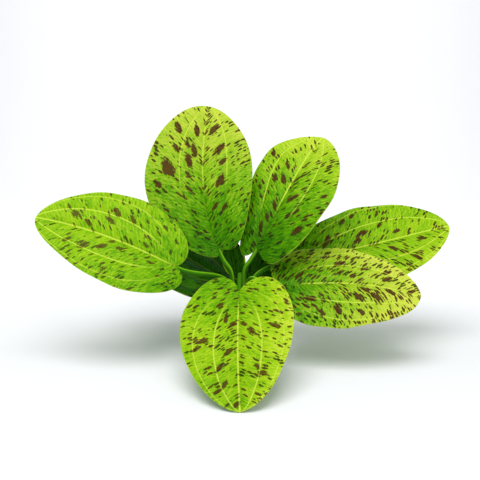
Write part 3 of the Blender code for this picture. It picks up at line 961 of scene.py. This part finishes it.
def add_crown():
    """The rootstock: ringed with the scars of old leaves, lumpy, and cut flat below."""
    turns = 2 * np.pi * np.arange(CROWN_SIDES) / CROWN_SIDES
    directions = stacked(np.cos(turns), np.sin(turns), 0)
    top = CROWN_PROFILE[-1][0]
    rows = [0 * directions]
    places = [stacked(0.0, 0.0, turns)]
    for share in CUT_RINGS:
        rows.append(directions * CROWN_PROFILE[0][1] * share)
        places.append(stacked(share, 0.0, turns))
    for height in np.linspace(0, top, CROWN_ROWS):
        radius, ridge = crown_radius(height, turns)
        rows.append(directions * radius[:, None] + (0, 0, height))
        places.append(stacked(1 + height, ridge, turns))
    rows.append(0 * directions + (0, 0, top))
    places.append(stacked(1 + top, 0.0, turns))
    body = Body()
    body.add(np.array(rows), {STALK: np.array(places)}, closed=True, material=0)
    return body.make("crown_surface", [crown_material()])


def crown_material():
    """Olive brown, darker in the scars, pale and fleshy on the cut, green where the stalks leave it."""
    shader = Shader("crown")
    height, ridge, turn = shader.value_of(STALK)
    x = shader.math("COSINE", turn)
    y = shader.math("SINE", turn)
    skin = shader.noise(shader.vector(shader.times(x, 4.0), shader.times(y, 4.0), height), detail=5.0)
    bands = shader.noise(shader.vector(x, y, shader.times(height, 2.2)), detail=3.0)
    colour = shader.mix(shader.step(skin, 0.35, 0.65), SKIN_DARK, SKIN_LIGHT)
    colour = shader.mix(shader.step(bands, 0.4, 0.7, 0.0, 0.6), colour, SKIN_OLIVE)
    colour = shader.mix(shader.step(ridge, -0.95, -0.4, 0.6, 0.0), colour, SCAR_BROWN)
    colour = shader.mix(shader.step(height, 9.0, 14.0), colour, CROWN_TOP_GREEN)
    colour = shader.mix(shader.step(height, 0.98, 1.05, 1.0, 0.0), colour, CUT_FLESH)
    bump = shader.node("ShaderNodeBump", {"Strength": 0.6, "Distance": 0.001, "Height": skin})
    dull = shader.node("ShaderNodeBsdfPrincipled", {
        "Base Color": colour, "Roughness": shader.step(skin, 0.2, 0.8, 0.65, 0.85),
        "Normal": bump.outputs[0]})
    return shader.finish(dull.outputs[0])


def add_plant():
    blade = blade_material()
    stalk = stalk_material()
    for seed, leaf in enumerate(LEAVES):
        body = Body()
        add_blade(body, leaf, seed + 1)
        add_stalk(body, leaf)
        piece = body.make(leaf.name + "_surface", [blade, stalk])
        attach(piece, "root")
        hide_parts(leaf.name)
    crown = add_crown()
    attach(crown, "root")
    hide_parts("crown")


# The floor and backdrop, in metres
FLOOR_HALF_WIDTH = 2.5
FLOOR_FRONT = -1.2
FLOOR_BACK = 0.9
FLOOR_WHITE = srgb(240, 241, 243)
BACKDROP_RADIUS = 0.6
BACKDROP_STEPS = 25
BACKDROP_TOP = 2.2


def add_floor():
    """A plain pale floor that curves up into a backdrop."""
    turns = np.linspace(0, math.pi / 2, BACKDROP_STEPS)
    bend = [(FLOOR_BACK + BACKDROP_RADIUS * math.sin(turn), BACKDROP_RADIUS * (1 - math.cos(turn)))
            for turn in turns]
    profile = [(FLOOR_FRONT, 0.0), *bend, (FLOOR_BACK + BACKDROP_RADIUS, BACKDROP_TOP)]
    places = [(x, y, z) for y, z in profile for x in (-FLOOR_HALF_WIDTH, FLOOR_HALF_WIDTH)]
    faces = [(2 * i, 2 * i + 1, 2 * i + 3, 2 * i + 2) for i in range(len(profile) - 1)]
    data = bpy.data.meshes.new("floor")
    data.from_pydata(places, [], faces)
    data.shade_smooth()
    shader = Shader("pale_floor")
    paper = shader.node("ShaderNodeBsdfPrincipled", {"Base Color": FLOOR_WHITE, "Roughness": 0.9,
                                                     "Specular IOR Level": 0.2})
    data.materials.append(shader.finish(paper.outputs[0]))
    floor = bpy.data.objects.new("floor", data)
    bpy.context.scene.collection.objects.link(floor)


PLANT_MIDDLE = (0, 0, 0.06)
BACKDROP_MIDDLE = (0, 1.5, 0.3)

# Each light's name, place, target, size in metres and power in watts
LIGHTS = [
    ("key_light", (-0.12, -0.4, 1.05), PLANT_MIDDLE, 0.9, 10),
    ("fill_light", (0.3, -1.1, 0.5), PLANT_MIDDLE, 0.8, 3),
    ("backdrop_light", (0, 0.55, 0.9), BACKDROP_MIDDLE, 1.2, 8),
]
WORLD_WHITE = srgb(250, 251, 255)
WORLD_STRENGTH = 0.42


def add_light(name, place, target, size, power):
    """A soft square light at a place, aimed at a target. Places and size are in metres."""
    lamp = bpy.data.lights.new(name, "AREA")
    lamp.shape = "SQUARE"
    lamp.size = size
    lamp.energy = power
    light = bpy.data.objects.new(name, lamp)
    light.location = place
    aim = Vector(target) - Vector(place)
    light.rotation_euler = aim.to_track_quat("-Z", "Y").to_euler()
    bpy.context.scene.collection.objects.link(light)


def add_lights_and_camera():
    for light in LIGHTS:
        add_light(*light)
    world = bpy.data.worlds.new("studio")
    world.use_nodes = True
    background = world.node_tree.nodes["Background"]
    background.inputs["Color"].default_value = WORLD_WHITE
    background.inputs["Strength"].default_value = WORLD_STRENGTH
    bpy.context.scene.world = world
    bpy.context.scene.view_settings.view_transform = "Standard"
    lens = bpy.data.cameras.new("camera")
    lens.lens = CAMERA_LENS
    lens.sensor_width = CAMERA_SENSOR
    lens.clip_start = 0.01
    camera = bpy.data.objects.new("camera", lens)
    camera.location = CAMERA_PLACE
    camera.rotation_euler = (math.radians(90 - CAMERA_DOWN), 0, 0)
    bpy.context.scene.collection.objects.link(camera)
    bpy.context.scene.camera = camera


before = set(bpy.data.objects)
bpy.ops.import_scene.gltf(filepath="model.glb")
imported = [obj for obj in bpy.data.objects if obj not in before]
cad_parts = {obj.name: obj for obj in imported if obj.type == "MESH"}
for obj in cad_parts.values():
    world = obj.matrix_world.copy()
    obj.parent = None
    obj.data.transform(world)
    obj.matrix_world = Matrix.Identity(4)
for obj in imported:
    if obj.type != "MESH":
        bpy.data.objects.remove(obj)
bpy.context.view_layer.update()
add_plant()
add_floor()
add_lights_and_camera()
